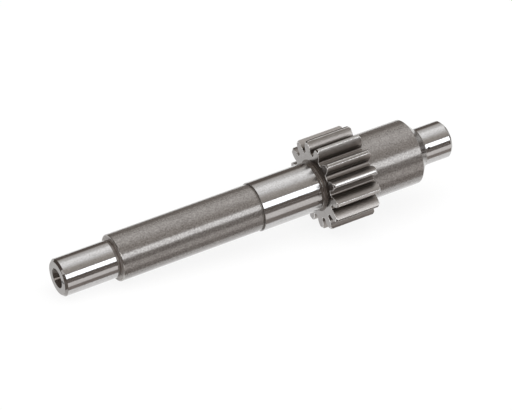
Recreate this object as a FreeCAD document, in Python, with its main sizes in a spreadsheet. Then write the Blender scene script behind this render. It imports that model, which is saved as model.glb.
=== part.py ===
import FreeCAD, Part
import itertools
import math
import os

import Sketcher
from FreeCAD import Placement, Rotation, Vector

# A turned and hobbed steel pinion shaft, one piece, lying on its left journal and on two teeth.
# Lengths are in millimetres. The body is drawn with +X along the shaft from its left end face.

SIZES = {
    # Journals, both ground to one bearing size
    "journal_diameter": 20,
    "left_journal_length": 29.5,
    "right_journal_length": 16.6,
    "left_end_chamfer": 1.2,
    "right_end_chamfer": 1.6,
    # Undercut that frees the grinding wheel at the shank's shoulder
    "undercut_width": 1.9,
    "undercut_depth": 0.3,
    "undercut_edge_break": 0.1,
    # Shank, left as turned
    "shank_length": 80,
    "shank_diameter": 25,
    "shank_chamfer": 0.35,
    # Narrow groove between the shank and the ground seat
    "groove_width": 1.1,
    "groove_depth": 0.4,
    # Ground seat beside the pinion
    "seat_length": 33.5,
    "seat_diameter": 26.2,
    "seat_chamfer": 0.2,
    # Relief between the seat and the pinion
    "relief_width": 2.4,
    "relief_depth": 0.8,
    "relief_fillet": 0.5,
    # Straight involute teeth, shifted outwards just enough to avoid undercut flanks
    "tooth_count": 14,
    "gear_module": 3,
    "pressure_angle": 20,
    "profile_shift": 0.176,
    "addendum_factor": 1,
    "dedendum_factor": 1.25,
    "root_fillet_factor": 0.38,
    "face_width": 26,
    "tooth_bevel": 0.9,
    # Collar behind the pinion, and the cone from it down to the right journal
    "collar_length": 29.8,
    "collar_diameter": 35,
    "cone_length": 6.4,
    "cone_fillet": 1.5,
    # Centre hole in each end face, on which the shaft was turned and ground
    "centre_diameter": 10.6,
    "centre_half_angle": 30,
    "pilot_diameter": 5,
    "pilot_depth": 9.2,
    "drill_half_angle": 59,
}

UNDERCUT_DIAMETER = "sizes.journal_diameter - 2 * sizes.undercut_depth"
GROOVE_DIAMETER = "sizes.shank_diameter - 2 * sizes.groove_depth"
RELIEF_DIAMETER = "sizes.seat_diameter - 2 * sizes.relief_depth"
TIP_DIAMETER = "sizes.gear_module * (sizes.tooth_count + 2 * (sizes.addendum_factor + sizes.profile_shift))"
ROOT_DIAMETER = "sizes.gear_module * (sizes.tooth_count - 2 * (sizes.dedendum_factor - sizes.profile_shift))"

# Steps of the blank from left to right: length, diameter where it starts, diameter where it ends
STEPS = {
    "left_journal": ("sizes.left_journal_length", "sizes.journal_diameter", "sizes.journal_diameter"),
    "undercut": ("sizes.undercut_width", UNDERCUT_DIAMETER, UNDERCUT_DIAMETER),
    "shank": ("sizes.shank_length", "sizes.shank_diameter", "sizes.shank_diameter"),
    "groove": ("sizes.groove_width", GROOVE_DIAMETER, GROOVE_DIAMETER),
    "seat": ("sizes.seat_length", "sizes.seat_diameter", "sizes.seat_diameter"),
    "relief": ("sizes.relief_width", RELIEF_DIAMETER, RELIEF_DIAMETER),
    "pinion": ("sizes.face_width", TIP_DIAMETER, TIP_DIAMETER),
    "collar": ("sizes.collar_length", "sizes.collar_diameter", "sizes.collar_diameter"),
    "cone": ("sizes.cone_length", "sizes.collar_diameter", "sizes.journal_diameter"),
    "right_journal": ("sizes.right_journal_length", "sizes.journal_diameter", "sizes.journal_diameter"),
}

# The tooth gap is drawn this far past the tips, so that it cuts the blank's rim cleanly.
GAP_OVERRUN = 0.5
# Points of the involute that each flank's spline passes through
FLANK_POINTS = 7


# Document and spreadsheet

document = FreeCAD.newDocument("pinion_shaft")
sheet = document.addObject("Spreadsheet::Sheet", "sizes")
for row, (name, size) in enumerate(SIZES.items(), start=1):
    sheet.set(f"A{row}", name)
    sheet.set(f"B{row}", str(size))
    sheet.setAlias(f"B{row}", name)
document.recompute()


def value(expression):
    """The number that an expression on the spreadsheet's cells gives."""
    return float(sheet.evalExpression(expression))


STATIONS = list(STEPS) + ["end"]


def start_of(step):
    """Expression for the place along the axis where a step starts. "end" is the right end face."""
    lengths = [STEPS[name][0] for name in STATIONS[:STATIONS.index(step)]]
    return " + ".join(lengths) or "0"


# Body and sketches

body = document.addObject("PartDesign::Body", "pinion_shaft")
body.Label = "pinion_shaft"


def origin_feature(role):
    """One of the body's own origin planes or axes."""
    return next(item for item in body.Origin.OriginFeatures if item.Role == role)


def new_sketch(name, plane):
    sketch = body.newObject("Sketcher::SketchObject", name)
    sketch.AttachmentSupport = (origin_feature(plane), [""])
    sketch.MapMode = "FlatFace"
    return sketch


def draw_half_section(name, corners):
    """A closed outline beside the axis. Each corner is two expressions, along the axis and out from it."""
    sketch = new_sketch(name, "XZ_Plane")
    points = [Vector(value(along), value(out), 0) for along, out in corners]
    for start, end in zip(points, points[1:] + points[:1]):
        sketch.addGeometry(Part.LineSegment(start, end), False)
    for line in range(len(points)):
        next_line = (line + 1) % len(points)
        sketch.addConstraint(Sketcher.Constraint("Coincident", line, 2, next_line, 1))
    for line, (along, out) in enumerate(corners):
        for kind, expression, zero_axis in (("DistanceX", along, -2), ("DistanceY", out, -1)):
            if expression == "0":
                sketch.addConstraint(Sketcher.Constraint("PointOnObject", line, 1, zero_axis))
            else:
                size = value(expression)
                index = sketch.addConstraint(Sketcher.Constraint(kind, -1, 1, line, 1, size))
                sketch.setExpression(f"Constraints[{index}]", expression)
    return sketch


def spin(kind, name, corners):
    """A Revolution or a Groove: a half section turned once round the shaft's axis."""
    sketch = draw_half_section(f"{name}_section", corners)
    feature = body.newObject(f"PartDesign::{kind}", name)
    feature.Profile = sketch
    feature.ReferenceAxis = (sketch, ["H_Axis"])
    feature.Angle = 360
    document.recompute()
    return feature


# Turned blank

outline = [("0", "0")]
for step, next_step in zip(STATIONS, STATIONS[1:]):
    _, start_diameter, end_diameter = STEPS[step]
    start_corner = (start_of(step), f"({start_diameter}) / 2")
    end_corner = (start_of(next_step), f"({end_diameter}) / 2")
    outline += [corner for corner in (start_corner, end_corner) if corner != outline[-1]]
outline.append((start_of("end"), "0"))
spin("Revolution", "blank", outline)


# Chamfers and fillets

def rim(shape, along, diameter):
    """Name of the circular edge at a place along the axis, with that diameter."""
    for number, edge in enumerate(shape.Edges, start=1):
        circle = edge.Curve
        if isinstance(circle, Part.Circle):
            offset = math.hypot(circle.Center.x - along, circle.Radius - diameter / 2)
            if offset < 1e-6:
                return f"Edge{number}"
    raise ValueError(f"no rim of diameter {diameter} at {along}")


def dress(kind, name, size, rims):
    """A Chamfer or Fillet of one size. Each rim is two expressions, place and diameter."""
    base = body.Tip
    feature = body.newObject(f"PartDesign::{kind}", name)
    feature.Base = (base, [rim(base.Shape, value(along), value(diameter)) for along, diameter in rims])
    feature.setExpression("Size" if kind == "Chamfer" else "Radius", size)
    document.recompute()


dress("Chamfer", "left_chamfer", "sizes.left_end_chamfer",
      [("0", "sizes.journal_diameter")])
dress("Chamfer", "right_chamfer", "sizes.right_end_chamfer",
      [(start_of("end"), "sizes.journal_diameter")])
dress("Chamfer", "undercut_edge", "sizes.undercut_edge_break",
      [(start_of("undercut"), "sizes.journal_diameter")])
dress("Chamfer", "shank_edge", "sizes.shank_chamfer",
      [(start_of("shank"), "sizes.shank_diameter")])
dress("Chamfer", "seat_edges", "sizes.seat_chamfer",
      [(start_of("seat"), "sizes.seat_diameter"), (start_of("relief"), "sizes.seat_diameter")])
dress("Chamfer", "tooth_bevels", "sizes.tooth_bevel",
      [(start_of("pinion"), TIP_DIAMETER), (start_of("collar"), TIP_DIAMETER)])
dress("Fillet", "relief_corner", "sizes.relief_fillet",
      [(start_of("pinion"), RELIEF_DIAMETER)])
dress("Fillet", "cone_foot", "sizes.cone_fillet",
      [(start_of("right_journal"), "sizes.journal_diameter")])


# Centre holes

CENTRE_DEPTH = "(sizes.centre_diameter - sizes.pilot_diameter) / 2 / tan(sizes.centre_half_angle)"
POINT_DEPTH = "sizes.pilot_diameter / 2 / tan(sizes.drill_half_angle)"


def from_left_face(depth):
    return depth


def from_right_face(depth):
    return f"{start_of('end')} - ({depth})"


def drill_centre(name, place):
    """A cone, its pilot and the drill's point. place gives the place along the axis of a depth."""
    spin("Groove", name, [
        (place("0"), "0"),
        (place("0"), "sizes.centre_diameter / 2"),
        (place(CENTRE_DEPTH), "sizes.pilot_diameter / 2"),
        (place("sizes.pilot_depth"), "sizes.pilot_diameter / 2"),
        (place(f"sizes.pilot_depth + {POINT_DEPTH}"), "0"),
    ])


drill_centre("left_centre", from_left_face)
drill_centre("right_centre", from_right_face)


# Tooth gaps. The drawn gap points straight down, so the shaft lies on the teeth each side of it.

def polar(radius, angle):
    """A point at an angle in radians from straight down."""
    return Vector(radius * math.sin(angle), -radius * math.cos(angle), 0)


def draw_tooth_gap():
    """Two involute flanks, straight and radial below the base circle, with fillets at the root."""
    teeth = value("sizes.tooth_count")
    module = value("sizes.gear_module")
    pressure = math.radians(value("sizes.pressure_angle"))
    shift = value("sizes.profile_shift")
    base_radius = module * teeth / 2 * math.cos(pressure)
    root_radius = value(ROOT_DIAMETER) / 2
    outer_radius = value(TIP_DIAMETER) / 2 + GAP_OVERRUN

    # Half a tooth and half a gap, as angles on the base circle
    half_tooth = (math.pi / 2 + 2 * shift * math.tan(pressure)) / teeth + math.tan(pressure) - pressure
    half_gap = math.pi / teeth - half_tooth
    last_roll = math.sqrt((outer_radius / base_radius) ** 2 - 1)
    rolls = [last_roll * index / (FLANK_POINTS - 1) for index in range(FLANK_POINTS)]

    # Root fillet, tangent to the radial stretch of the flank and to the root circle
    fillet = value("sizes.root_fillet_factor") * module
    fillet_radius = root_radius + fillet
    root_angle = half_gap - math.asin(fillet / fillet_radius)
    foot_radius = math.sqrt(fillet_radius ** 2 - fillet ** 2)

    sketch = new_sketch("tooth_gap_section", "YZ_Plane")
    sketch.setExpression("AttachmentOffset.Base.z", start_of("pinion"))
    for side in (-1, 1):
        flank = [polar(base_radius * math.hypot(1, roll), side * (half_gap + roll - math.atan(roll)))
                 for roll in rolls]
        spline = Part.BSplineCurve()
        spline.interpolate(flank)
        sketch.addGeometry(spline, False)
        foot = polar(foot_radius, side * half_gap)
        sketch.addGeometry(Part.LineSegment(flank[0], foot), False)
        centre = polar(fillet_radius, side * root_angle)
        root = polar(root_radius, side * root_angle)
        middle = centre + (foot + root - centre * 2).normalize() * fillet
        sketch.addGeometry(Part.Arc(foot, middle, root), False)
    outer_angle = half_gap + last_roll - math.atan(last_roll)
    for radius, angle in ((root_radius, root_angle), (outer_radius, outer_angle)):
        arc = Part.Arc(polar(radius, -angle), polar(radius, 0), polar(radius, angle))
        sketch.addGeometry(arc, False)
    return sketch


tooth_gap = body.newObject("PartDesign::Pocket", "tooth_gap")
tooth_gap.Profile = draw_tooth_gap()
tooth_gap.Reversed = True
tooth_gap.setExpression("Length", "sizes.face_width")
document.recompute()

tooth_gaps = body.newObject("PartDesign::PolarPattern", "tooth_gaps")
tooth_gaps.Originals = [tooth_gap]
tooth_gaps.Axis = (origin_feature("X_Axis"), [""])
tooth_gaps.Angle = 360
tooth_gaps.setExpression("Occurrences", "sizes.tooth_count")
body.Tip = tooth_gaps
document.recompute()


# Resting place

def resting_tilt(solid):
    """Tilt in radians at which the shaft lies on its lowest rims and tooth corners."""
    rims = [edge.Curve for edge in solid.Edges if edge.isClosed() and isinstance(edge.Curve, Part.Circle)]
    supports = [(circle.Center.x, circle.Radius) for circle in rims]
    supports += [(vertex.X, -vertex.Z) for vertex in solid.Vertexes]
    balance = solid.CenterOfMass.x
    lefts = [support for support in supports if support[0] < balance]
    rights = [support for support in supports if support[0] > balance]

    def depth_at_balance(pair):
        (left, left_depth), (right, right_depth) = pair
        return left_depth + (right_depth - left_depth) * (balance - left) / (right - left)

    left, right = max(itertools.product(lefts, rights), key=depth_at_balance)
    return math.atan2(right[1] - left[1], right[0] - left[0])


# The origin lies under the middle of the whole shaft, on the surface that it lies on.
tilt = Rotation(Vector(0, 1, 0), -math.degrees(resting_tilt(body.Shape.Solids[0])))
body.Placement = Placement(Vector(0, 0, 0), tilt)
box = body.Shape.optimalBoundingBox(False)
body.Placement = Placement(Vector(-box.Center.x, 0, -box.ZMin), tilt)
document.recompute()


# Checks and export

for item in document.Objects:
    if "Invalid" in item.State or "Error" in item.State:
        raise ValueError(f"{item.Name} failed: {item.State}")
    if item.TypeId in ("PartDesign::Groove", "PartDesign::Pocket", "PartDesign::PolarPattern"):
        if item.Shape.Volume > item.BaseFeature.Shape.Volume - 1:
            raise ValueError(f"{item.Name} cuts nothing")

sub_parts = [body]
os.makedirs("parts", exist_ok=True)
for sub_part in sub_parts:
    if sub_part.Shape.isNull() or not sub_part.Shape.isValid():
        raise ValueError(f"{sub_part.Label} has no valid shape")
    print(sub_part.Label, "solids", len(sub_part.Shape.Solids), "volume", round(sub_part.Shape.Volume, 1))
for sub_part in sub_parts:
    sub_part.Shape.exportStep(f"parts/{sub_part.Label}.step")
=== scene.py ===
import math

import bmesh
import bpy
from mathutils import Matrix, Vector


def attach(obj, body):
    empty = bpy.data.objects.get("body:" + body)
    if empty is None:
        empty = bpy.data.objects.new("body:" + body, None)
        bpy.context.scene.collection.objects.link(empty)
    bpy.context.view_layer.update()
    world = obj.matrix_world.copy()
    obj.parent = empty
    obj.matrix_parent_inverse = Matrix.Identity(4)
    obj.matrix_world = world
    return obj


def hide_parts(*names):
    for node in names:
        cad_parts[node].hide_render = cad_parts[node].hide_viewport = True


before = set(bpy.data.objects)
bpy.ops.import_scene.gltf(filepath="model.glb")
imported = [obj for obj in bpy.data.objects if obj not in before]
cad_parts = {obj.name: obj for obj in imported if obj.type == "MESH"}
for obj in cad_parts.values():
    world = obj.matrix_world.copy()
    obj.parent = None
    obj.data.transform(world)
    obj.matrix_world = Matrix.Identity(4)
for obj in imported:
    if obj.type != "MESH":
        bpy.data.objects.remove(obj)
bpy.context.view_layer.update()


# Turned blank
# One bar of alloy steel, turned between centres to all its steps in one setting. The shank and
# the collar keep this finish: fine rings all round, dull along the shaft and brighter across it.
# Sizes are in millimetres, with x from the left end face along the shaft's own axis.

CENTRE_MOUTH_RADIUS = 5.3
LEFT_CHAMFER = 1.2
JOURNAL_RADIUS = 10.0
JOURNAL_BEVEL = 0.15
UNDERCUT_START = 29.5
UNDERCUT_RADIUS = 9.7
UNDERCUT_MIDDLE = 30.5
SHANK_START = 31.4
SHANK_RADIUS = 12.5
SHANK_LEFT_BEVEL = 0.35
SHANK_RIGHT_BEVEL = 0.1
GROOVE_START = 111.4
GROOVE_RADIUS = 12.1
SEAT_START = 112.5
SEAT_END = 146.0
SEAT_RADIUS = 13.1
SEAT_BEVEL = 0.2
RELIEF_RADIUS = 12.3
RIDGE_START = 147.35
RIDGE_END = 147.78
RIDGE_RADIUS = 12.42
RIDGE_SIDE = 0.1
TEETH_START = 148.4
TEETH_END = 174.4
TEETH_FACE_RADIUS = 14.0
COLLAR_RADIUS = 17.5
CONE_START = 204.2
CONE_END = 210.6
CONE_FOOT_ROUNDING = 0.4
RIGHT_CHAMFER = 1.6
SHAFT_LENGTH = 227.2

# Corners of the outline as place along the axis, radius, and the edge's rounding
LEFT_OUTLINE = [
    (0.0, CENTRE_MOUTH_RADIUS, 0.0),
    (0.0, JOURNAL_RADIUS - LEFT_CHAMFER, 0.12),
    (LEFT_CHAMFER, JOURNAL_RADIUS, 0.12),
    (UNDERCUT_START - JOURNAL_BEVEL, JOURNAL_RADIUS, 0.0),
    (UNDERCUT_START, JOURNAL_RADIUS - JOURNAL_BEVEL, 0.0),
    (UNDERCUT_START, UNDERCUT_RADIUS, 0.0),
    (UNDERCUT_MIDDLE, UNDERCUT_RADIUS, 0.0),
    (SHANK_START, UNDERCUT_RADIUS, 0.15),
    (SHANK_START, SHANK_RADIUS - SHANK_LEFT_BEVEL, 0.16),
    (SHANK_START + SHANK_LEFT_BEVEL, SHANK_RADIUS, 0.16),
    (GROOVE_START - SHANK_RIGHT_BEVEL, SHANK_RADIUS, 0.0),
    (GROOVE_START, SHANK_RADIUS - SHANK_RIGHT_BEVEL, 0.0),
    (GROOVE_START, GROOVE_RADIUS, 0.0),
    (SEAT_START, GROOVE_RADIUS, 0.0),
    (SEAT_START, SEAT_RADIUS - SEAT_BEVEL, 0.0),
    (SEAT_START + SEAT_BEVEL, SEAT_RADIUS, 0.05),
    (SEAT_END - SEAT_BEVEL, SEAT_RADIUS, 0.05),
    (SEAT_END, SEAT_RADIUS - SEAT_BEVEL, 0.0),
    (SEAT_END, RELIEF_RADIUS, 0.2),
    (RIDGE_START, RELIEF_RADIUS, 0.0),
    (RIDGE_START + RIDGE_SIDE, RIDGE_RADIUS, 0.05),
    (RIDGE_END - RIDGE_SIDE, RIDGE_RADIUS, 0.05),
    (RIDGE_END, RELIEF_RADIUS, 0.0),
    (TEETH_START, RELIEF_RADIUS, 0.5),
    (TEETH_START, TEETH_FACE_RADIUS, 0.0),
]
RIGHT_OUTLINE = [
    (TEETH_END, COLLAR_RADIUS, 0.0),
    (CONE_START, COLLAR_RADIUS, 0.2),
    (CONE_END, JOURNAL_RADIUS, CONE_FOOT_ROUNDING),
    (SHAFT_LENGTH - RIGHT_CHAMFER, JOURNAL_RADIUS, 0.12),
    (SHAFT_LENGTH, JOURNAL_RADIUS - RIGHT_CHAMFER, 0.12),
    (SHAFT_LENGTH, CENTRE_MOUTH_RADIUS, 0.0),
]

TEETH = 14
STEPS_ROUND = 16 * TEETH
ROUNDING_STEPS = 4

AXIS = Vector((1, 0, 0))

steel = bmesh.new()


def turn(outline):
    """Rounds an outline's corners and spins it once round the shaft's axis."""
    corners = [steel.verts.new((along, 0, -radius)) for along, radius, _ in outline]
    for pair in zip(corners, corners[1:]):
        steel.edges.new(pair)
    for corner, (_, _, rounding) in zip(corners, outline):
        if rounding:
            bmesh.ops.bevel(
                steel, geom=[corner], affect="VERTICES", offset=rounding,
                segments=ROUNDING_STEPS, profile=0.5, material=-1)
    line = [edge for edge in steel.edges if edge.is_wire]
    line += list({corner for edge in line for corner in edge.verts})
    bmesh.ops.spin(
        steel, geom=line, cent=(0, 0, 0), axis=AXIS, angle=math.tau,
        steps=STEPS_ROUND, use_merge=True)


turn(LEFT_OUTLINE)
turn(RIGHT_OUTLINE)

# The shaft lies on its left journal and on two teeth, so its axis rises towards the right. Its
# place in the frame is in metres.
MILLIMETRE = 0.001
LEFT_END = Vector((-0.1130708, 0, 0.0098415))
AXIS_RISE = math.radians(5.4326)
ALONG = Vector((math.cos(AXIS_RISE), 0, math.sin(AXIS_RISE)))

shaft_mesh = bpy.data.meshes.new("pinion_shaft_steel")


def feed(material, node, inputs):
    """Gives each input of a shader node a value, or the socket of another node that feeds it."""
    for socket, source in inputs.items():
        if isinstance(source, bpy.types.NodeSocket):
            material.node_tree.links.new(source, node.inputs[socket])
        else:
            node.inputs[socket].default_value = source


def add_node(material, kind, inputs=None, **settings):
    """A new shader node of a material, with its settings and inputs."""
    node = material.node_tree.nodes.new(kind)
    for name, setting in settings.items():
        setattr(node, name, setting)
    feed(material, node, inputs or {})
    return node


def new_finish(name):
    """A finish in the next material slot of the shaft, with its main shader."""
    finish = bpy.data.materials.new(name)
    finish.use_nodes = True
    shaft_mesh.materials.append(finish)
    return finish, finish.node_tree.nodes["Principled BSDF"]


def shaft_place(finish):
    """Place on the shaft in millimetres: x along its axis from the left end, y and z across it."""
    coordinates = add_node(finish, "ShaderNodeTexCoord")
    return add_node(
        finish, "ShaderNodeMapping",
        {"Vector": coordinates.outputs["Object"], "Location": LEFT_END,
         "Rotation": (0, -AXIS_RISE, 0), "Scale": (MILLIMETRE,) * 3},
        vector_type="TEXTURE").outputs[0]


def multiplied(finish, place, factors):
    """A place with each of its three parts multiplied by its own factor."""
    return add_node(
        finish, "ShaderNodeVectorMath", {0: place, 1: factors}, operation="MULTIPLY").outputs[0]


def length_of(finish, arm):
    return add_node(finish, "ShaderNodeVectorMath", {0: arm}, operation="LENGTH").outputs["Value"]


def place_radius(finish, place):
    """The distance of a place from the shaft's axis."""
    return length_of(finish, multiplied(finish, place, (0, 1, 1)))


def ring_place(finish, place):
    """A number that changes along the shaft on its round faces, and outwards on its flat ones."""
    along = add_node(finish, "ShaderNodeSeparateXYZ", {0: place})
    return add_node(
        finish, "ShaderNodeMath", {0: along.outputs["X"], 1: place_radius(finish, place)},
        operation="ADD").outputs[0]


def rings(finish, rings_at, rings_per_mm, detail):
    """Rings of uneven tone all round the shaft."""
    return add_node(
        finish, "ShaderNodeTexNoise", {"W": rings_at, "Scale": rings_per_mm, "Detail": detail},
        noise_dimensions="1D").outputs["Fac"]


def clouds(finish, place, scale, detail):
    """Uneven patches. The larger the scale, the smaller they are."""
    return add_node(
        finish, "ShaderNodeTexNoise", {"Vector": place, "Scale": scale, "Detail": detail}).outputs["Fac"]


def grain_round(finish):
    """Direction of the tool's travel round the axis, for the stretch of the highlights."""
    coordinates = add_node(finish, "ShaderNodeTexCoord")
    arm = add_node(
        finish, "ShaderNodeVectorMath", {0: coordinates.outputs["Object"], 1: LEFT_END},
        operation="SUBTRACT")
    return add_node(
        finish, "ShaderNodeVectorMath", {0: ALONG, 1: arm.outputs[0]},
        operation="CROSS_PRODUCT").outputs[0]


def spread(finish, source, low, high, start=0.0, end=1.0):
    """Maps a pattern from start..end to low..high."""
    return add_node(
        finish, "ShaderNodeMapRange",
        {"Value": source, "From Min": start, "From Max": end, "To Min": low, "To Max": high}).outputs[0]


def blend(finish, factor, first, second):
    """Mixes two patterns, whose sockets on a Mix node are numbers 2 and 3."""
    return add_node(finish, "ShaderNodeMix", {0: factor, 2: first, 3: second}).outputs[0]


def blend_colours(finish, factor, first, second):
    """Mixes two colours, whose sockets on a Mix node are numbers 6 and 7."""
    return add_node(
        finish, "ShaderNodeMix", {0: factor, 6: first, 7: second}, data_type="RGBA").outputs[2]


CLOUD_STRETCH = (0.15, 0.5, 0.5)
SPECKS_PER_MM = 1.3
RINGS_IN_A_BAND = 6


def lathe_finish(
        name, tones, roughness, stretch, ring_depth, speckle, metal=1.0, oil=0.0, rings_per_mm=2.2):
    """Steel cut or ground while it turned: fine rings all round, with clouds and specks of two tones.

    The rings' depth is in metres, and the stretch is that of the highlights across them.
    """
    finish, shader = new_finish(name)
    place = shaft_place(finish)
    rings_at = ring_place(finish, place)
    fine_rings = rings(finish, rings_at, rings_per_mm, detail=3.0)
    broad_rings = rings(finish, rings_at, rings_per_mm / RINGS_IN_A_BAND, detail=4.0)
    long_clouds = clouds(finish, multiplied(finish, place, CLOUD_STRETCH), scale=1.0, detail=5.0)
    specks = clouds(finish, place, SPECKS_PER_MM, detail=3.0)
    tone = spread(finish, blend(finish, speckle, long_clouds, specks), 0.0, 1.0, start=0.35, end=0.65)
    ring_relief = add_node(
        finish, "ShaderNodeBump", {"Strength": 0.25, "Distance": ring_depth, "Height": fine_rings})
    feed(finish, shader, {
        "Metallic": metal,
        "Coat Weight": oil,
        "Coat Roughness": 0.15,
        "Base Color": blend_colours(finish, tone, *tones),
        "Roughness": spread(finish, broad_rings, *roughness, start=0.3, end=0.7),
        "Normal": ring_relief.outputs[0],
        "Tangent": grain_round(finish),
        "Anisotropic": stretch,
        "Anisotropic Rotation": 0.25})
    return finish


def scar(finish, middle, lean, half_lengths, colour):
    """A scratch or nick in a finish: an oval patch of another colour, leaning round the shaft's axis."""
    oval = add_node(
        finish, "ShaderNodeMapping",
        {"Vector": shaft_place(finish), "Location": middle, "Rotation": (lean, 0, 0), "Scale": half_lengths},
        vector_type="TEXTURE")
    inside = spread(finish, length_of(finish, oval.outputs[0]), 1.0, 0.0, start=0.6, end=1.0)
    shader = finish.node_tree.nodes["Principled BSDF"]
    around = shader.inputs["Base Color"].links[0].from_socket
    feed(finish, shader, {"Base Color": blend_colours(finish, inside, around, colour)})


dull_turned = lathe_finish(
    "dull_turned_steel", [(0.13, 0.115, 0.105, 1), (0.27, 0.25, 0.235, 1)], roughness=(0.26, 0.27),
    stretch=0.5, ring_depth=0.000001, speckle=0.85, metal=0.58, oil=1.0)
bright_turned = lathe_finish(
    "bright_turned_steel", [(0.36, 0.345, 0.33, 1), (0.44, 0.425, 0.41, 1)], roughness=(0.16, 0.22),
    stretch=0.6, ring_depth=0.00001, speckle=0.4)
faced_steel = lathe_finish(
    "faced_steel", [(0.26, 0.245, 0.235, 1), (0.32, 0.305, 0.295, 1)], roughness=(0.12, 0.18),
    stretch=0.4, ring_depth=0.000006, speckle=0.4)
recess_steel = lathe_finish(
    "recess_steel", [(0.27, 0.245, 0.225, 1), (0.37, 0.34, 0.32, 1)], roughness=(0.26, 0.36),
    stretch=0.5, ring_depth=0.00001, speckle=0.5, metal=0.35)
# Darker tones: painted shade in the undercut and the groove.
dark_turned = lathe_finish(
    "dark_turned_steel", [(0.12, 0.106, 0.096, 1), (0.22, 0.2, 0.183, 1)], roughness=(0.40, 0.50),
    stretch=0.6, ring_depth=0.00001, speckle=0.4, metal=0.6)
# Darkest tones: painted shade in the recesses beside the shank's wall and in front of the teeth.
recess_painted_shade_steel = lathe_finish(
    "recess_painted_shade_steel", [(0.095, 0.077, 0.066, 1), (0.17, 0.142, 0.122, 1)], roughness=(0.42, 0.52),
    stretch=0.6, ring_depth=0.00001, speckle=0.4, metal=0.5)

# A short scratch runs from the left centre hole's mouth to the edge of the face.
scar(
    faced_steel, middle=(0, -6.66, 1.19), lean=math.radians(173.1), half_lengths=(0.6, 2.05, 0.95),
    colour=(0.008, 0.006, 0.005, 1))


def radius_of(point):
    return math.hypot(point.y, point.z)


def give_finish(finish, faces, chosen=lambda middle, normal: True):
    """The faces get this finish if chosen holds, which is asked about each one's middle and normal."""
    slot = shaft_mesh.materials.find(finish.name)
    for face in faces:
        face.normal_update()
        if chosen(face.calc_center_median(), face.normal):
            face.material_index = slot


def lies_in(*stretches, above=0.0, below=math.inf):
    """Chooses the faces in one of these stretches along the shaft, and between these radii."""
    def chosen(middle, normal):
        in_stretch = any(start < middle.x < end for start, end in stretches)
        return in_stretch and above < radius_of(middle) < below
    return chosen


# Faces, chamfers and the cone were cut with a sharper tool. The narrow recesses get darker tones, painted
# shade where their walls and the gear shadow them, darkest in front of the teeth.
CLOSE = 0.01

# The shank's left end has a light wall, up to its bevel's foot, and a bright bevel above it.
SHANK_WALL_START = SHANK_START - 0.1
SHANK_WALL_END = SHANK_START + 0.05
SHANK_WALL_TOP = 12.2
SHANK_EDGE_START = SHANK_START + 0.001
SHANK_EDGE_END = SHANK_START + SHANK_LEFT_BEVEL + 0.17
SHANK_EDGE_FOOT = 12.0

# Least share of a face's normal that lies along the shaft, on a flat end and on a bevel beside it
FLAT_ON = 0.95
LEANING = 0.5

give_finish(dull_turned, steel.faces)
give_finish(bright_turned, steel.faces, lambda middle, normal: middle.x > CONE_START)
give_finish(faced_steel, steel.faces, lambda middle, normal: middle.x < LEFT_CHAMFER)
give_finish(
    faced_steel, steel.faces,
    lambda middle, normal: middle.x > TEETH_START - CLOSE and abs(normal.x) > FLAT_ON)
give_finish(recess_steel, steel.faces, lies_in((SHANK_WALL_START, SHANK_WALL_END), below=SHANK_WALL_TOP))
# The undercut and the groove get painted shade, and the recesses beside them the darkest painted shade.
give_finish(
    dark_turned, steel.faces, lies_in((UNDERCUT_START, UNDERCUT_MIDDLE), (GROOVE_START, SEAT_START)))
give_finish(
    recess_painted_shade_steel, steel.faces, lies_in((UNDERCUT_MIDDLE, SHANK_WALL_START), (SEAT_END, TEETH_START)))
give_finish(bright_turned, steel.faces, lies_in((RIDGE_START, RIDGE_END)))
give_finish(bright_turned, steel.faces, lies_in((SHANK_EDGE_START, SHANK_EDGE_END), above=SHANK_EDGE_FOOT))


# Teeth
# Fourteen straight involute teeth of module 3, hobbed into the blank's largest step. The hob leaves the
# flanks and roots rougher than the turned tips, and their tone darkens towards the roots as painted shade in
# the gaps.

# The profile shift and the depth of the roots count in modules.
MODULE = 3.0
PROFILE_SHIFT = 0.176
ROOT_DEPTH = 1.25
PRESSURE_ANGLE = math.radians(20)
PITCH_RADIUS = MODULE * TEETH / 2
BASE_RADIUS = PITCH_RADIUS * math.cos(PRESSURE_ANGLE)
TIP_RADIUS = PITCH_RADIUS + MODULE * (1 + PROFILE_SHIFT)
ROOT_RADIUS = PITCH_RADIUS - MODULE * (ROOT_DEPTH - PROFILE_SHIFT)
ROOT_FILLET = 1.14
FLANK_RADII = [BASE_RADIUS, 20.15, 20.8, 21.6, 22.45, 23.4, TIP_RADIUS]
FILLET_STEPS = 4
TIP_BEVEL = 0.9
TOOTH_EDGE_ROUNDING = 0.26
HALF_PITCH = math.pi / TEETH
DOWN = Vector((0, 0, -1))
JOINED_WITHIN = 0.002
SHARP_ANGLE = math.radians(25)


def involute(angle):
    return math.tan(angle) - angle


def half_tooth_angle(radius):
    """Half the tooth's width at a radius, as an angle round the axis."""
    at_pitch = (math.pi / 2 + 2 * PROFILE_SHIFT * math.tan(PRESSURE_ANGLE)) / TEETH
    at_base = at_pitch + involute(PRESSURE_ANGLE)
    return at_base - involute(math.acos(min(1, BASE_RADIUS / radius)))


def half_tooth_points():
    """Radius and angle from the middle of the gap, up one side of a tooth, to the middle of its tip."""
    points = [(ROOT_RADIUS, HALF_PITCH)]
    fillet_radius = ROOT_RADIUS + ROOT_FILLET
    foot_angle = half_tooth_angle(BASE_RADIUS)
    centre_angle = foot_angle + math.asin(ROOT_FILLET / fillet_radius)
    for step in range(FILLET_STEPS + 1):
        turn_angle = math.radians(90) * step / FILLET_STEPS
        out = fillet_radius - ROOT_FILLET * math.cos(turn_angle)
        aside = ROOT_FILLET * math.sin(turn_angle)
        points.append((math.hypot(out, aside), centre_angle - math.atan2(aside, out)))
    points += [(radius, half_tooth_angle(radius)) for radius in FLANK_RADII]
    points.append((TIP_RADIUS, 0.0))
    return points


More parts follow.
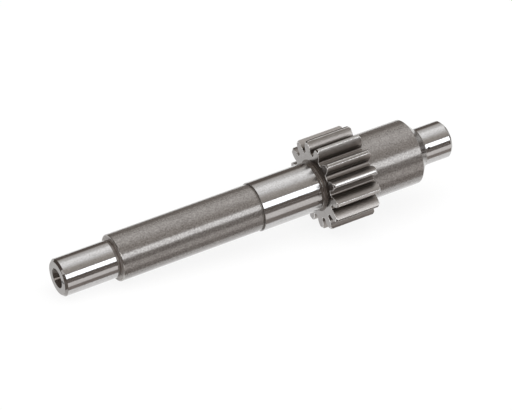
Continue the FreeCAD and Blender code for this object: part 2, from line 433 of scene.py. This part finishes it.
teeth = bmesh.new()
half_tooth = half_tooth_points()
both_sides = [(radius, -angle) for radius, angle in half_tooth]
both_sides += [(radius, angle) for radius, angle in reversed(half_tooth[:-1])]
tooth_line = []
for radius, angle in both_sides:
    round_axis = Matrix.Rotation(HALF_PITCH + angle, 3, "X")
    tooth_line.append(teeth.verts.new(round_axis @ (DOWN * radius) + AXIS * TEETH_START))
tooth_edges = [teeth.edges.new(pair) for pair in zip(tooth_line, tooth_line[1:])]
bmesh.ops.spin(
    teeth, geom=tooth_line + tooth_edges, cent=(0, 0, 0), axis=AXIS, use_duplicate=True,
    angle=math.tau * (TEETH - 1) / TEETH, steps=TEETH - 1)
bmesh.ops.remove_doubles(teeth, verts=teeth.verts, dist=JOINED_WITHIN)
front = bmesh.ops.contextual_create(teeth, geom=teeth.edges[:])["faces"]
back = bmesh.ops.extrude_face_region(teeth, geom=front, use_keep_orig=True)["geom"]
back_corners = [part for part in back if isinstance(part, bmesh.types.BMVert)]
bmesh.ops.translate(teeth, verts=back_corners, vec=AXIS * (TEETH_END - TEETH_START))
bmesh.ops.recalc_face_normals(teeth, faces=teeth.faces)


def lies_across(edge):
    """The edge lies in one of the teeth's two end faces."""
    return abs(edge.verts[0].co.x - edge.verts[1].co.x) < CLOSE


tip_ends = [
    edge for edge in teeth.edges
    if lies_across(edge) and all(radius_of(corner.co) > TIP_RADIUS - CLOSE for corner in edge.verts)]
bmesh.ops.bevel(
    teeth, geom=tip_ends, affect="EDGES", offset=TIP_BEVEL, segments=1, profile=0.5, material=-1)
sharp_edges = [edge for edge in teeth.edges if edge.calc_face_angle(0) > SHARP_ANGLE]
worn_edges = bmesh.ops.bevel(
    teeth, geom=sharp_edges, affect="EDGES", offset=TOOTH_EDGE_ROUNDING, segments=2,
    profile=0.5, material=-1, clamp_overlap=True)

# Only the two end faces have this many corners. The bar's own steel takes their place below.
END_FACE_CORNERS = 10 * TEETH
end_faces = [face for face in teeth.faces if len(face.verts) > END_FACE_CORNERS]
bmesh.ops.delete(teeth, geom=end_faces, context="FACES_ONLY")

HOB_MARK_STRETCH = (0.5, 3.0, 3.0)
# Below the first radius the flanks take a dark tone, painted shade in the gaps between the teeth.
ROOT_SHADE_BELOW_RADIUS = 18.4
UNSHADED_ABOVE_RADIUS = 22.5
hobbed_finish, hobbed = new_finish("hobbed_steel")
hobbed_place = shaft_place(hobbed_finish)
hob_marks = clouds(
    hobbed_finish, multiplied(hobbed_finish, hobbed_place, HOB_MARK_STRETCH), scale=0.8, detail=4.0)
unshaded_tone = blend_colours(hobbed_finish, hob_marks, (0.22, 0.20, 0.185, 1), (0.38, 0.355, 0.335, 1))
# Blends from the painted shade at the roots to the unshaded tone near the tips.
out_of_root_shade = spread(
    hobbed_finish, place_radius(hobbed_finish, hobbed_place), 0.0, 1.0,
    start=ROOT_SHADE_BELOW_RADIUS, end=UNSHADED_ABOVE_RADIUS)
hob_relief = add_node(
    hobbed_finish, "ShaderNodeBump", {"Strength": 0.4, "Distance": 0.00004, "Height": hob_marks})
feed(hobbed_finish, hobbed, {
    "Metallic": 1.0,
    "Base Color": blend_colours(hobbed_finish, out_of_root_shade, (0.17, 0.152, 0.138, 1), unshaded_tone),
    "Roughness": spread(hobbed_finish, hob_marks, 0.26, 0.42),
    "Normal": hob_relief.outputs[0]})

# The tips kept the turned blank's surface, and handling has worn every edge bright.
worn_finish = lathe_finish(
    "worn_edge_steel", [(0.40, 0.385, 0.37, 1), (0.80, 0.79, 0.78, 1)], roughness=(0.26, 0.38),
    stretch=0.0, ring_depth=0.00003, speckle=1.0)
TIP_FLAT_DEPTH = 0.05
give_finish(hobbed_finish, teeth.faces)
give_finish(
    bright_turned, teeth.faces, lambda middle, normal: radius_of(middle) > TIP_RADIUS - TIP_FLAT_DEPTH)
give_finish(faced_steel, teeth.faces, lambda middle, normal: abs(normal.x) > LEANING)
give_finish(worn_finish, worn_edges["faces"])
give_finish(
    worn_finish, teeth.faces,
    lambda middle, normal: LEANING < normal.x < FLAT_ON and radius_of(middle) > TIP_RADIUS - TIP_BEVEL)

# The bar's own steel fills both end faces of the teeth, between their outline and the shaft.
teeth_mesh = bpy.data.meshes.new("teeth")
teeth.to_mesh(teeth_mesh)
teeth.free()
steel.from_mesh(teeth_mesh)
bpy.data.meshes.remove(teeth_mesh)
for end in (TEETH_START, TEETH_END):
    rim = [
        edge for edge in steel.edges
        if edge.is_boundary and all(abs(corner.co.x - end) < CLOSE for corner in edge.verts)]
    filled = bmesh.ops.triangle_fill(steel, edges=rim, use_beauty=True, use_dissolve=False)["geom"]
    give_finish(faced_steel, [part for part in filled if isinstance(part, bmesh.types.BMFace)])


# Ground journals and seat
# Both bearing journals and the seat beside the teeth are cylindrically ground after turning.
# They are as bright as mirrors, with only hairline marks round them.

GROUND_STRETCHES = [
    (LEFT_CHAMFER, UNDERCUT_START - JOURNAL_BEVEL),
    (SEAT_START + SEAT_BEVEL, SEAT_END - SEAT_BEVEL),
    (CONE_END + CONE_FOOT_ROUNDING, SHAFT_LENGTH - RIGHT_CHAMFER),
]
GROUND_DEPTH = 0.05

ground_finish = lathe_finish(
    "ground_steel", [(0.46, 0.448, 0.44, 1), (0.57, 0.562, 0.56, 1)], roughness=(0.15, 0.18),
    stretch=0.9, ring_depth=0.000003, speckle=0.7, rings_per_mm=5.0)

# A small nick by the cone is where something hard struck the right journal.
scar(
    ground_finish, middle=(212.6, -9.15, 4.04), lean=0, half_lengths=(0.9, 0.7, 0.7),
    colour=(0.03, 0.026, 0.023, 1))
give_finish(ground_finish, steel.faces, lies_in(*GROUND_STRETCHES, above=JOURNAL_RADIUS - GROUND_DEPTH))


# Centre holes
# A centre drill made a 60 degree cone and a pilot in each end face, for the lathe's and the
# grinder's centres. Only the left one shows in the photograph, and the right one is the same.

PILOT_RADIUS = 2.5
PILOT_START = 4.85
PILOT_END = 9.2
CENTRE_DEPTH = 10.702
CENTRE_OUTLINE = [
    (0.0, CENTRE_MOUTH_RADIUS, 0.0),
    (PILOT_START, PILOT_RADIUS, 0.0),
    (PILOT_END, PILOT_RADIUS, 0.0),
    (CENTRE_DEPTH, 0.0, 0.0),
]

turn(CENTRE_OUTLINE)
turn([(SHAFT_LENGTH - depth, radius, rounding) for depth, radius, rounding in CENTRE_OUTLINE])

# The holes' very dark tones are painted shade inside them.
hole_painted_shade_finish = lathe_finish(
    "drilled_painted_shade_steel", [(0.081, 0.067, 0.058, 1), (0.104, 0.087, 0.077, 1)], roughness=(0.12, 0.18),
    stretch=0.5, ring_depth=0.000004, speckle=0.4, metal=0.4)
left_hole = (CLOSE, CENTRE_DEPTH)
right_hole = (SHAFT_LENGTH - CENTRE_DEPTH, SHAFT_LENGTH - CLOSE)
give_finish(hole_painted_shade_finish, steel.faces, lies_in(left_hole, right_hole, below=CENTRE_MOUTH_RADIUS))


# One piece of steel
# The turned, hobbed and ground faces join into the one solid shaft that the frame holds, and it
# is laid where that one lies. Worn edges catch the light as curves, and all others stay crisp.

WORN_SHARP_ANGLE = math.radians(50)

bmesh.ops.remove_doubles(steel, verts=steel.verts, dist=JOINED_WITHIN)
bmesh.ops.recalc_face_normals(steel, faces=steel.faces)
for face in steel.faces:
    face.smooth = True
worn_slot = shaft_mesh.materials.find(worn_finish.name)
for edge in steel.edges:
    is_worn = any(face.material_index == worn_slot for face in edge.link_faces)
    edge.smooth = edge.calc_face_angle(0) < (WORN_SHARP_ANGLE if is_worn else SHARP_ANGLE)
steel.to_mesh(shaft_mesh)
steel.free()
lay_down = (
    Matrix.Translation(LEFT_END)
    @ Matrix.Rotation(-AXIS_RISE, 4, "Y")
    @ Matrix.Scale(MILLIMETRE, 4))
shaft_mesh.transform(lay_down)
shaft = bpy.data.objects.new("pinion_shaft_steel", shaft_mesh)
bpy.context.scene.collection.objects.link(shaft)
weighted = shaft.modifiers.new("flat faces stay flat", "WEIGHTED_NORMAL")
weighted.keep_sharp = True
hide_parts("pinion_shaft")
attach(shaft, "root")


# Studio floor
# A wide sheet of white paper that the shaft lies on. It reaches far past the picture's edges,
# and it looks nearly even to the camera. Sizes of the studio are in metres.

FLOOR_HALF_WIDTH = 8.0
EVEN_WHITE_SHARE = 0.88


def stage_card(name, corners, material):
    """A flat card of the studio, from its corners."""
    card = bmesh.new()
    card.faces.new([card.verts.new(corner) for corner in corners])
    mesh = bpy.data.meshes.new(name)
    card.to_mesh(mesh)
    card.free()
    mesh.materials.append(material)
    thing = bpy.data.objects.new(name, mesh)
    bpy.context.scene.collection.objects.link(thing)
    return thing


def empty_material(name):
    """A material whose shader nodes are all still to be added."""
    material = bpy.data.materials.new(name)
    material.use_nodes = True
    material.node_tree.nodes.clear()
    return material


paper = empty_material("white_paper")
matt = add_node(paper, "ShaderNodeBsdfDiffuse", {"Color": (0.95, 0.95, 0.95, 1)})
even_white = add_node(paper, "ShaderNodeEmission", {"Color": (1, 1, 1, 1), "Strength": 1.0})
ray = add_node(paper, "ShaderNodeLightPath")
to_camera = add_node(
    paper, "ShaderNodeMath", {0: ray.outputs["Is Camera Ray"], 1: EVEN_WHITE_SHARE},
    operation="MULTIPLY")
in_mirrors = add_node(
    paper, "ShaderNodeMath", {0: ray.outputs["Is Glossy Ray"], 1: ray.outputs["Is Transmission Ray"]},
    operation="MAXIMUM")
even_share = add_node(
    paper, "ShaderNodeMath", {0: to_camera.outputs[0], 1: in_mirrors.outputs[0]}, operation="MAXIMUM")
paper_surface = add_node(
    paper, "ShaderNodeMixShader",
    {0: even_share.outputs[0], 1: matt.outputs[0], 2: even_white.outputs[0]})
add_node(paper, "ShaderNodeOutputMaterial", {"Surface": paper_surface.outputs[0]})
stage_card(
    "floor",
    [(side * FLOOR_HALF_WIDTH, depth * FLOOR_HALF_WIDTH, 0)
     for side, depth in ((-1, -1), (1, -1), (1, 1), (-1, 1))],
    paper)


# Softboxes
# Glowing cards. A long strip in front of the shaft makes the bright line along it, and three
# more stand past its ends. None of them shows itself.

SHAFT_MIDDLE = Vector((0.00093, 0, 0.0207))
STRIP_ELEVATION = math.radians(24.4)
STRIP_DISTANCE = 0.9
STRIP_SHIFT_ALONG = 0.40
STRIP_LENGTH = 1.2
STRIP_WIDTH = 0.37


def add_glow(material, colour, strength):
    light = add_node(material, "ShaderNodeEmission", {"Color": colour, "Strength": strength})
    add_node(material, "ShaderNodeOutputMaterial", {"Surface": light.outputs[0]})


def softbox(name, centre, half_width, half_height, strength, colour=(1, 1, 1, 1)):
    """A glowing card, from its middle and the arms from there to a side and to its top."""
    glow = empty_material(name)
    add_glow(glow, colour, strength)
    foot, top = centre - half_height, centre + half_height
    box = stage_card(
        name, [foot - half_width, foot + half_width, top + half_width, top - half_width], glow)
    box.visible_camera = False
    return box


to_strip = Vector((0, -math.cos(STRIP_ELEVATION), math.sin(STRIP_ELEVATION)))
to_strip = (to_strip - ALONG * to_strip.dot(ALONG)).normalized()
softbox(
    "strip_softbox", SHAFT_MIDDLE + to_strip * STRIP_DISTANCE + ALONG * STRIP_SHIFT_ALONG,
    ALONG * (STRIP_LENGTH / 2), ALONG.cross(to_strip) * (STRIP_WIDTH / 2), strength=3.1,
    colour=(0.98, 1.02, 1.06, 1))

# The first puts a glint into the centre hole, the second lightens the left edges' bevels, and
# the third is a broad pale one, which the shaft shows from its left end.
for name, centre, half_width, half_height, strength in (
        ("hole_softbox", (-0.84, -0.70, 0.45), (0.21, -0.216, 0), (0.043, 0.035, 0.150), 4.5),
        ("bevel_softbox", (-1.15, -0.12, 0.36), (0.05, -0.08, 0.12), (0.02, 0.15, 0.10), 1.3),
        ("wall_softbox", (2.4, 0, 0.5), (0, 0.62, 0), (0, 0, 0.48), 1.2)):
    end_softbox = softbox(name, Vector(centre), Vector(half_width), Vector(half_height), strength)
    end_softbox.visible_shadow = False
    end_softbox.visible_diffuse = False


# Overhead cloth and fill lamp
# A broad pale cloth hangs above the whole table. It is brightest over its middle, and dimmer and
# warmer towards its edges. One lamp below it fills the shadows.

CLOTH_HEIGHT = 1.5
CLOTH_LEFT = -0.70
CLOTH_RIGHT = 1.9
NEUTRAL_LEVEL = 0.9
WARMTH = 0.16

# Places across the table and how brightly the cloth glows there, from front edge to back edge
CLOTH_LEVELS = [
    (-2.2, 0.28), (-1.2, 0.42), (-0.9, 0.46), (-0.62, 0.57), (-0.39, 0.80), (-0.17, 1.03),
    (0.04, 1.17), (0.30, 1.29), (0.52, 1.29), (0.71, 1.07), (1.0, 0.80), (1.35, 0.72),
    (1.76, 0.55), (2.3, 0.2), (2.6, 0.12)]

cloth = empty_material("overhead_cloth")
cloth_place = add_node(cloth, "ShaderNodeTexCoord")
across_table = add_node(cloth, "ShaderNodeSeparateXYZ", {0: cloth_place.outputs["Object"]})
front_edge, back_edge = CLOTH_LEVELS[0][0], CLOTH_LEVELS[-1][0]
to_back = spread(cloth, across_table.outputs["Y"], 0.0, 1.0, start=front_edge, end=back_edge)
ramp = add_node(cloth, "ShaderNodeValToRGB", {"Fac": to_back})
stops = ramp.color_ramp.elements
while len(stops) < len(CLOTH_LEVELS):
    stops.new(0.5)
for stop, (across, level) in zip(stops, CLOTH_LEVELS):
    stop.position = (across - front_edge) / (back_edge - front_edge)
    warmth = max(0, NEUTRAL_LEVEL - level) * WARMTH
    stop.color = (level * (1 + warmth), level, level * (1 - warmth), 1)
add_glow(cloth, ramp.outputs["Color"], strength=1.0)
overhead = stage_card(
    "overhead_cloth",
    [(CLOTH_LEFT, front_edge, CLOTH_HEIGHT), (CLOTH_RIGHT, front_edge, CLOTH_HEIGHT),
     (CLOTH_RIGHT, back_edge, CLOTH_HEIGHT), (CLOTH_LEFT, back_edge, CLOTH_HEIGHT)],
    cloth)
overhead.visible_camera = False

fill_light = bpy.data.lights.new("fill_lamp", "AREA")
fill_light.shape = "RECTANGLE"
fill_light.size = 2.4
fill_light.size_y = 1.6
fill_light.energy = 21
fill_lamp = bpy.data.objects.new("fill_lamp", fill_light)
fill_lamp.location = (-0.2, -0.3, 1.45)
fill_lamp.visible_glossy = False
fill_lamp.visible_camera = False
bpy.context.scene.collection.objects.link(fill_lamp)


# Flags
# Five pieces of dull paper lie on the floor round the shaft, and put the dark, grey and pale
# lines into its bright steel. They show only there, and cast no shadow.

FLAG_HEIGHT = 0.0004


def flag_paper(name, colour):
    sheet = bpy.data.materials.new(name)
    sheet.use_nodes = True
    feed(sheet, sheet.node_tree.nodes["Principled BSDF"], {"Base Color": colour, "Roughness": 1.0})
    return sheet


def lay_flag(name, sheet, corners, height=FLAG_HEIGHT):
    """A flag flat on the floor, from its corners' places to the right and to the back."""
    flag = stage_card(name, [(right, back, height) for right, back in corners], sheet)
    flag.visible_camera = False
    flag.visible_diffuse = False
    flag.visible_shadow = False
    flag.visible_transmission = False


dull_black = flag_paper("black_flag", (0.105, 0.085, 0.073, 1))
dull_grey = flag_paper("grey_flag", (0.24, 0.213, 0.197, 1))
pale_grey = flag_paper("pale_flag", (0.70, 0.68, 0.67, 1))
lay_flag("far_flag", dull_black, [(-0.60, 0.118), (-1.6, -2.5), (2.5, -2.5), (1.0, -0.439)])
lay_flag("side_flag", dull_black, [(0.235, -0.20), (0.43, -0.327), (0.43, 0.25), (0.235, 0.10)])
lay_flag(
    "near_flag", dull_grey, [(-0.130, -0.0190), (0.160, -0.0520), (0.160, -0.0255), (-0.130, -0.0120)])
lay_flag(
    "pale_flag", pale_grey, [(-0.130, -0.0456), (0.300, -0.1950), (0.300, -0.0680), (-0.130, -0.0190)],
    height=FLAG_HEIGHT / 2)
lay_flag(
    "end_flag", dull_grey, [(-0.250, -0.0900), (-0.1175, -0.0500), (-0.1175, -0.0040), (-0.250, -0.0040)])


# Room
# Dim warm walls stand all round, and fill what the softboxes and the cloth leave dark. The
# picture keeps the studio's own brightness, with no tone curve.

room = bpy.data.worlds.new("room")
room.use_nodes = True
feed(
    room, room.node_tree.nodes["Background"], {"Color": (0.165, 0.14, 0.125, 1), "Strength": 1.0})
bpy.context.scene.world = room
bpy.context.scene.view_settings.view_transform = "Standard"


# Camera
# A long lens, a little above the shaft and to the left of it, as in the photograph. Its length
# is in millimetres, and it turns in degrees.

lens = bpy.data.cameras.new("camera")
lens.sensor_fit = "HORIZONTAL"
lens.sensor_width = 36
lens.lens = 247.64
lens.clip_start = 0.05
lens.clip_end = 100
camera = bpy.data.objects.new("camera", lens)
camera.location = (-0.7679, -1.3568, 0.9266)
camera.rotation_euler = [math.radians(degrees) for degrees in (59.861, -0.723, -29.107)]
bpy.context.scene.collection.objects.link(camera)
bpy.context.scene.camera = camera
